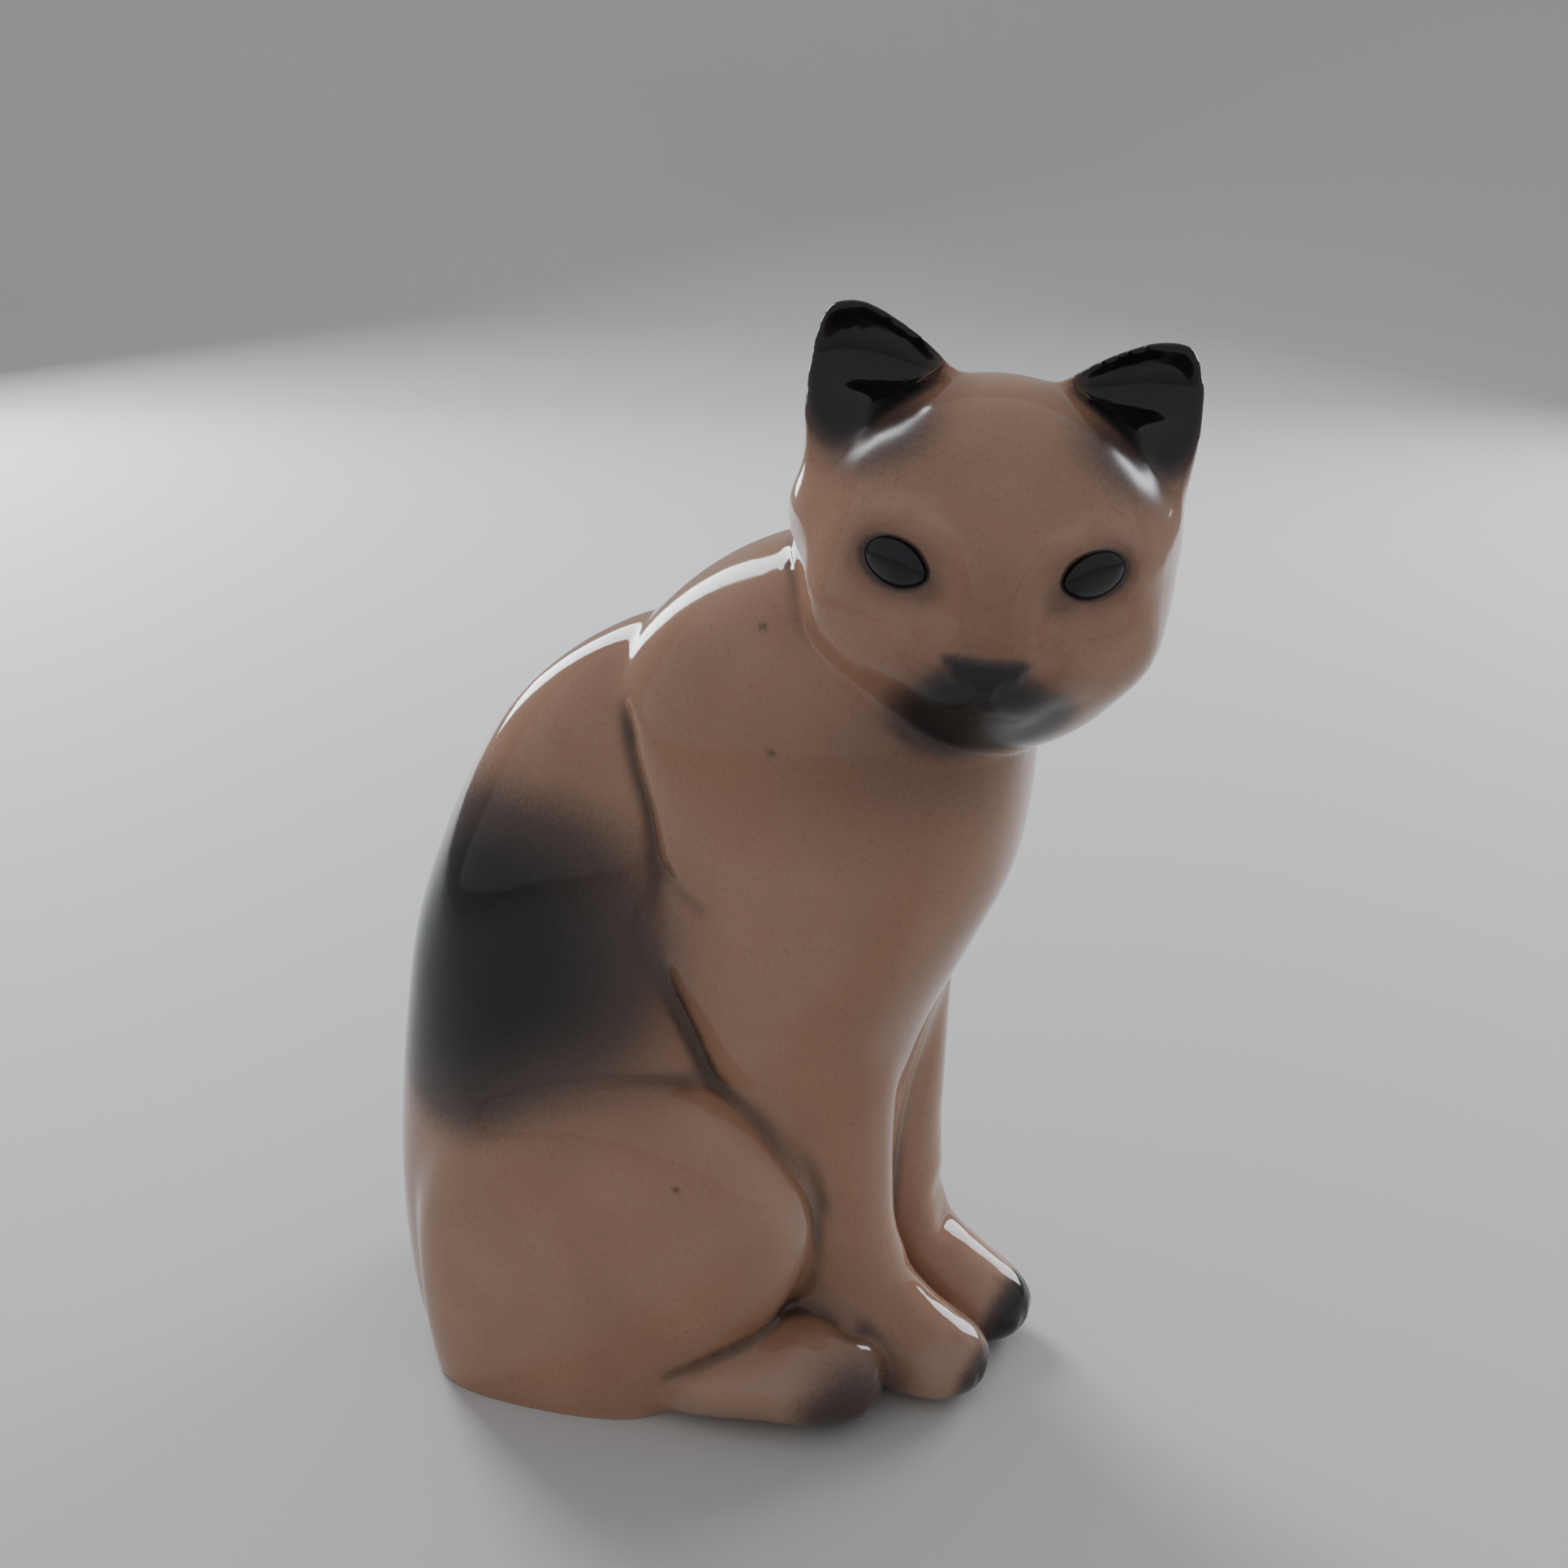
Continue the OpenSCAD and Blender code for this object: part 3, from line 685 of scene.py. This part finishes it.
def fired(name, ripple=0.10, matt=0.0):
    """The glaze of one member: how far its surface waves, in mm, and how much its stain dulls it."""
    paint = bpy.data.materials.new(name)
    paint.use_nodes = True
    tree = paint.node_tree
    shader = tree.nodes["Principled BSDF"]
    shader.inputs["IOR"].default_value = 1.52
    group = node(tree, "ShaderNodeGroup", (-400, 0), node_tree=stained_glaze)
    for k, key in enumerate(("spray", "rust", "pool", "thin", "bare")):
        read = node(tree, "ShaderNodeAttribute", (-700, 200 - 180 * k), attribute_name=key)
        tree.links.new(read.outputs["Fac"], group.inputs[key.title()])
    group.inputs["Matt"].default_value = matt
    bump = node(tree, "ShaderNodeBump", (-150, -250))
    bump.inputs["Strength"].default_value = 1.0
    bump.inputs["Distance"].default_value = ripple * mm
    tree.links.new(group.outputs["Color"], shader.inputs["Base Color"])
    tree.links.new(group.outputs["Roughness"], shader.inputs["Roughness"])
    tree.links.new(group.outputs["Height"], bump.inputs["Height"])
    tree.links.new(bump.outputs["Normal"], shader.inputs["Normal"])
    return paint


# ------------------------------------------------------------------ members
# The figure is parted along the lines where its members were luted together. Each stays a closed
# solid and keeps the normals of the whole skin, so that no join shows through the glaze.
MEMBERS = ["body_casting", "head_casting", "left_ear", "right_ear", "left_foreleg", "right_foreleg",
           "left_hind_foot", "right_hind_foot", "tail"]
CLOSE_BY = 6  # mm from a member's box, beyond which its distance is not measured closely


def off_members(points):
    """How far each point lies from each member of the CAD model, evened out over the skin, in mm."""
    away = []
    for name in MEMBERS:
        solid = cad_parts[name].data
        tree = BVHTree.FromPolygons([v.co for v in solid.vertices], [p.vertices for p in solid.polygons])
        low, high = (np.array(c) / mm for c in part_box(name))
        far = np.linalg.norm(np.maximum(np.maximum(low - points, points - high), 0), axis=1)
        for k in np.where(far < CLOSE_BY)[0]:
            far[k] = tree.find_nearest(Vector(points[k] * mm))[3] / mm
        away.append(far)
    return rubbed(np.array(away).T, pairs, 0.6, 4)


away = off_members(co)
corners = np.empty(len(skin.loops), np.int32)
skin.loops.foreach_get("vertex_index", corners)
starts = np.empty(len(skin.polygons), np.int32)
skin.polygons.foreach_get("loop_start", starts)
label = np.add.reduceat(away[corners], starts).argmin(1)
for name in MEMBERS:      # each label is a plain material until its member is glazed
    skin.materials.append(bpy.data.materials.new(name))
skin.polygons.foreach_set("material_index", label.astype(np.int32))
skin.polygons.foreach_set("use_smooth", np.ones(len(label), bool))
skin.update()
bpy.ops.object.select_all(action="DESELECT")
bpy.context.view_layer.objects.active = figure
figure.select_set(True)
bpy.ops.object.mode_set(mode="EDIT")
bpy.ops.mesh.select_all(action="SELECT")
bpy.ops.mesh.separate(type="MATERIAL")
bpy.ops.object.mode_set(mode="OBJECT")


def closed(piece, bored=None):
    """Closes a member where it was cut, and gives its outside the normals of the whole skin.
    bored, if given, cuts a hole in it, and marks the new faces so that they keep their own normals."""
    mesh = piece.data
    shape = bmesh.new()
    shape.from_mesh(mesh)
    mark = shape.faces.layers.int.new("cut")
    rim = [e for e in shape.edges if e.is_boundary]
    if rim:
        made = bmesh.ops.holes_fill(shape, edges=rim, sides=0)["faces"]
        made = bmesh.ops.poke(shape, faces=made, center_mode="MEAN")["faces"]
        for f in made:
            f.smooth, f[mark] = False, 1
    if bored:
        bored(shape, mark)
    shape.to_mesh(mesh)
    shape.free()
    want = np.empty(len(mesh.vertices) * 3, np.float32)
    mesh.attributes["smooth_normal"].data.foreach_get("vector", want)
    loops = np.empty(len(mesh.loops), np.int32)
    mesh.loops.foreach_get("vertex_index", loops)
    given = want.reshape(-1, 3)[loops]
    cut = np.zeros(len(mesh.polygons), np.int32)
    mesh.attributes["cut"].data.foreach_get("value", cut)
    totals = np.empty(len(mesh.polygons), np.int32)
    mesh.polygons.foreach_get("loop_total", totals)
    given[np.repeat(cut > 0, totals)] = 0
    mesh.normals_split_custom_set(given.tolist())
    for name in ("smooth_normal", "cut"):
        mesh.attributes.remove(mesh.attributes[name])


cut_members = {}
for piece in list(bpy.context.selected_objects):
    cut_members[piece.data.materials[piece.data.polygons[0].material_index].name] = piece


def taken(name, paint, bored=None):
    """A cut member as a piece of its own, closed and glazed."""
    piece = cut_members[name]
    piece.name = piece.data.name = "glazed_" + name
    piece.data.materials.clear()
    bpy.data.materials.remove(bpy.data.materials[name])
    closed(piece, bored)
    piece.data.materials.append(paint)
    piece.data.polygons.foreach_set("material_index", np.zeros(len(piece.data.polygons), np.int32))
    return piece


# ------------------------------------------------------------------ body casting
# The hollow casting of the rump, thighs, shoulders and chest. It is slip-cast in a plaster mould,
# and carries the flank stains. Its underside is wiped bare of glaze to stand on.
VENT_AT, VENT_R, VENT_DEEP = Vector((0, 20, 0)), 1.75, 4.5  # the air hole, in mm
VENT_CLEAR = 1.6  # how much of the skin is taken away round it before it is joined up again


def air_hole(shape, mark):
    """Bores the air hole up into the underside."""
    gone = [f for f in shape.faces if f.normal.z < -0.8
            and (f.calc_center_median() / mm - VENT_AT).length < VENT_R + VENT_CLEAR]
    bmesh.ops.delete(shape, geom=gone, context="FACES")
    rim = [e for e in shape.edges if e.is_boundary]
    there = Matrix.Translation(VENT_AT * mm)
    mouth = bmesh.ops.create_circle(shape, segments=32, radius=VENT_R * mm, matrix=there)["verts"]
    lip = list({e for v in mouth for e in v.link_edges})
    made = bmesh.ops.bridge_loops(shape, edges=rim + lip)["faces"]
    grown = bmesh.ops.extrude_edge_only(shape, edges=lip)["geom"]
    inner = [g for g in grown if isinstance(g, bmesh.types.BMVert)]
    bmesh.ops.translate(shape, verts=inner, vec=(0, 0, VENT_DEEP * mm))
    made += [g for g in grown if isinstance(g, bmesh.types.BMFace)]
    made += bmesh.ops.holes_fill(shape, edges=[e for e in shape.edges if e.is_boundary], sides=0)["faces"]
    bmesh.ops.recalc_face_normals(shape, faces=shape.faces)
    unglazed = shape.verts.layers.float["bare"]
    for f in made:
        f.smooth, f[mark] = False, 1
        for v in f.verts:
            v[unglazed] = 1


body_casting = taken("body_casting", fired("body_glaze", ripple=0.10), air_hole)
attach(body_casting, "root")
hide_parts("body_casting")


# ------------------------------------------------------------------ head casting
# The hollow ball of the head, luted to the neck. Its sockets, nose and mouth are modelled before
# it is fired, and its muzzle is sprayed dark.
head_casting = taken("head_casting", fired("head_glaze", ripple=0.08, matt=0.26))
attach(head_casting, "root")
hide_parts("head_casting")


# ------------------------------------------------------------------ left ear
# A thin ear of clay, hollow in front, pinched on to the head and luted down. It is sprayed near
# black inside and on its tip, and its back keeps the tan of the head.
left_ear = taken("left_ear", fired("left_ear_glaze", ripple=0.06))
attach(left_ear, "root")
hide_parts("left_ear")


# ------------------------------------------------------------------ right ear
# The same as the left ear, mirrored, but it stands a little higher. It is hollow in front too, and
# pinched and luted on in the same way.
right_ear = taken("right_ear", fired("right_ear_glaze", ripple=0.06))
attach(right_ear, "root")
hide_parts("right_ear")


# ------------------------------------------------------------------ left foreleg
# A straight roll of clay with a bent paw, luted under the chest and down the side of the bust.
# Its toes are scored with a tool and sprayed black.
left_foreleg = taken("left_foreleg", fired("left_foreleg_glaze", ripple=0.10))
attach(left_foreleg, "root")
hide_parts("left_foreleg")


# ------------------------------------------------------------------ right foreleg
# The same roll of clay on the other side, luted in the same way. It is set a little further back,
# with a lighter stain on its toes.
right_foreleg = taken("right_foreleg", fired("right_foreleg_glaze", ripple=0.10))
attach(right_foreleg, "root")
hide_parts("right_foreleg")


# ------------------------------------------------------------------ left hind foot
# A foot of clay that comes out from under the thigh, and is luted to it and to the base of the
# body. Its toes carry a soft smoky stain, beside the dark end of the tail.
left_hind_foot = taken("left_hind_foot", fired("left_hind_foot_glaze", ripple=0.10))
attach(left_hind_foot, "root")
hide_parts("left_hind_foot")


# ------------------------------------------------------------------ right hind foot
# The same on the other side: a foot of clay luted under the thigh. Its toes carry a soft smoky
# stain too.
right_hind_foot = taken("right_hind_foot", fired("right_hind_foot_glaze", ripple=0.10))
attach(right_hind_foot, "root")
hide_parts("right_hind_foot")


# ------------------------------------------------------------------ tail
# A plain roll of clay luted to the rump and pressed along the ground round the left side.
# It is sprayed dark towards its tip.
tail = taken("tail", fired("tail_glaze", ripple=0.10))
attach(tail, "root")
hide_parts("tail")


# ------------------------------------------------------------------ eyes
# Low domes of black enamel, drawn to a slight point at the corner beside the nose. Each is set in
# a bed pressed between the lids, and is fused there in the kiln.
def enamel():
    """Near-black enamel, very slightly clouded."""
    paint = bpy.data.materials.new("black_enamel")
    paint.use_nodes = True
    tree = paint.node_tree
    shader = tree.nodes["Principled BSDF"]
    shader.inputs["Roughness"].default_value = 0.12
    place = node(tree, "ShaderNodeTexCoord", (-800, 0))
    cloud = node(tree, "ShaderNodeTexNoise", (-600, 0))
    cloud.inputs["Scale"].default_value = 260
    tree.links.new(place.outputs["Object"], cloud.inputs["Vector"])
    depth = node(tree, "ShaderNodeValToRGB", (-400, 0))
    depth.color_ramp.elements[0].position, depth.color_ramp.elements[0].color = 0.35, (0.002, 0.002, 0.003, 1)
    depth.color_ramp.elements[1].position, depth.color_ramp.elements[1].color = 0.70, (0.007, 0.007, 0.010, 1)
    tree.links.new(cloud.outputs["Fac"], depth.inputs["Fac"])
    tree.links.new(depth.outputs["Color"], shader.inputs["Base Color"])
    return paint


black_enamel = enamel()
for side, name in ((-1, "right_eye"), (1, "left_eye")):
    dome = bmesh.new()
    bmesh.ops.create_uvsphere(dome, u_segments=64, v_segments=40, radius=1)
    for v in dome.verts:
        inner = max(0.0, -side * v.co.x)
        v.co.z *= 1 - 0.2 * inner ** 3
        v.co.x *= 1 + 0.05 * inner ** 4
        x, y, z = (v.co[k] * EYE_HALF[k] for k in range(3))
        v.co = HEAD @ (eye_frame(side) @ Vector((x, y + sunk[side] + 0.1, z)) * mm)
    shape = bpy.data.meshes.new("enamel_" + name)
    bmesh.ops.recalc_face_normals(dome, faces=dome.faces)
    dome.to_mesh(shape)
    dome.free()
    for polygon in shape.polygons:
        polygon.use_smooth = True
    shape.materials.append(black_enamel)
    piece = bpy.data.objects.new("enamel_" + name, shape)
    bpy.context.scene.collection.objects.link(piece)
    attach(piece, "root")
    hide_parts(name)


# ------------------------------------------------------------------ stage
# A pale sheet that lies flat under the figure and curves up into a wall far behind it. Two soft
# lamps stand behind the figure, to its left and right, in an even dim light.
COVE = [(-8, 0), (1.1, 0), (1.35, 0.03), (1.6, 0.13), (1.8, 0.3), (1.93, 0.52), (2.0, 0.8), (2.0, 1.3), (2.0, 2.6)]
COVE_HALF_WIDTH, COVE_TURN = 8.0, 16  # m and degrees
floor_mesh = bpy.data.meshes.new("floor")
sheet = bmesh.new()
swing = Matrix.Rotation(math.radians(COVE_TURN), 3, "Z")
line = [sheet.verts.new(swing @ Vector((x, -COVE_HALF_WIDTH, z))) for x, z in COVE]
line = [sheet.edges.new(ends) for ends in zip(line, line[1:])]
swept = bmesh.ops.extrude_edge_only(sheet, edges=line)["geom"]
bmesh.ops.translate(sheet, vec=swing @ Vector((0, 2 * COVE_HALF_WIDTH, 0)),
                    verts=[g for g in swept if isinstance(g, bmesh.types.BMVert)])
bmesh.ops.recalc_face_normals(sheet, faces=sheet.faces)
if sheet.faces[:][0].normal.z < 0:
    bmesh.ops.reverse_faces(sheet, faces=sheet.faces)
for f in sheet.faces:
    f.smooth = True
sheet.to_mesh(floor_mesh)
sheet.free()
floor = bpy.data.objects.new("floor", floor_mesh)
bpy.context.scene.collection.objects.link(floor)
pale = bpy.data.materials.new("pale_floor")
pale.use_nodes = True
pale.node_tree.nodes["Principled BSDF"].inputs["Base Color"].default_value = (0.62, 0.61, 0.59, 1)
pale.node_tree.nodes["Principled BSDF"].inputs["Roughness"].default_value = 0.7
floor_mesh.materials.append(pale)


def softbox(name, at, aim, size, power, tint):
    """A rectangular lamp with a cloth over it, turned to what it lights."""
    lamp = bpy.data.lights.new(name, "AREA")
    lamp.shape, lamp.size, lamp.size_y = "RECTANGLE", size[0], size[1]
    lamp.energy, lamp.color = power, tint
    holder = bpy.data.objects.new(name, lamp)
    holder.location = at
    holder.rotation_euler = (Vector(aim) - Vector(at)).to_track_quat("-Z", "Y").to_euler()
    holder.visible_camera = False
    bpy.context.scene.collection.objects.link(holder)


softbox("left window", (0.66, 0.75, 0.60), (0, 0, 0.08), (0.34, 1.0), 13, (0.88, 0.93, 1.0))
softbox("far window", (0.92, -0.52, 0.42), (0, -0.02, 0.1), (0.5, 0.5), 7, (0.88, 0.93, 1.0))

sky = bpy.data.worlds.new("studio")
bpy.context.scene.world = sky
sky.use_nodes = True
sky.node_tree.nodes["Background"].inputs["Color"].default_value = (0.55, 0.57, 0.6, 1)
sky.node_tree.nodes["Background"].inputs["Strength"].default_value = 0.85

LENS_ANGLE, LENS_TURN, LENS_RISE = 42, -74, 20  # degrees
LENS_AIM, LENS_OFF = Vector((0, -0.015, 0.1159)), 0.368
lens = bpy.data.cameras.new("camera")
lens.angle = math.radians(LENS_ANGLE)
lens.clip_start = 0.01
camera = bpy.data.objects.new("camera", lens)
turn, rise = math.radians(LENS_TURN), math.radians(LENS_RISE)
back = Vector((math.sin(turn) * math.cos(rise), -math.cos(turn) * math.cos(rise), math.sin(rise)))
camera.location = LENS_AIM + back * LENS_OFF
camera.rotation_euler = back.to_track_quat("Z", "Y").to_euler()
bpy.context.scene.collection.objects.link(camera)
bpy.context.scene.camera = camera
